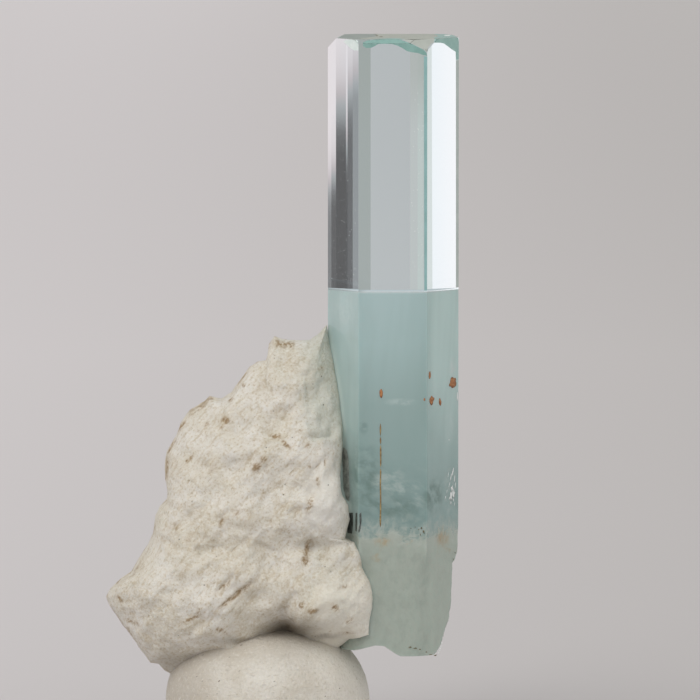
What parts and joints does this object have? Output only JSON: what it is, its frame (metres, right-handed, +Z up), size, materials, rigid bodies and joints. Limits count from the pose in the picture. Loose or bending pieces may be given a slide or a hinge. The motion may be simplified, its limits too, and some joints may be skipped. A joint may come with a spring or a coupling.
{
  "type": "aquamarine crystal specimen",
  "caption": "Upright six-sided aquamarine prism, clear above and milky below, grown on a lump of white feldspar and set in a flat-footed lump of mineral putty.",
  "frame": {"origin": "middle of the bounding box in plan, on the flat underside of the putty", "axes": "+Z up, along the crystal's long axis; +X from the feldspar towards the crystal; -Y towards the front, which shows one prism face square on"},
  "size_m": [0.0254, 0.0146, 0.0509],
  "materials": {
    "aquamarine": "polished",
    "feldspar": "matte",
    "putty": "matte"
  },
  "bodies": {
    "root": {"aquamarine_crystal": "aquamarine", "feldspar_matrix": "feldspar", "putty_mount": "putty"}
  },
  "joints": []
}
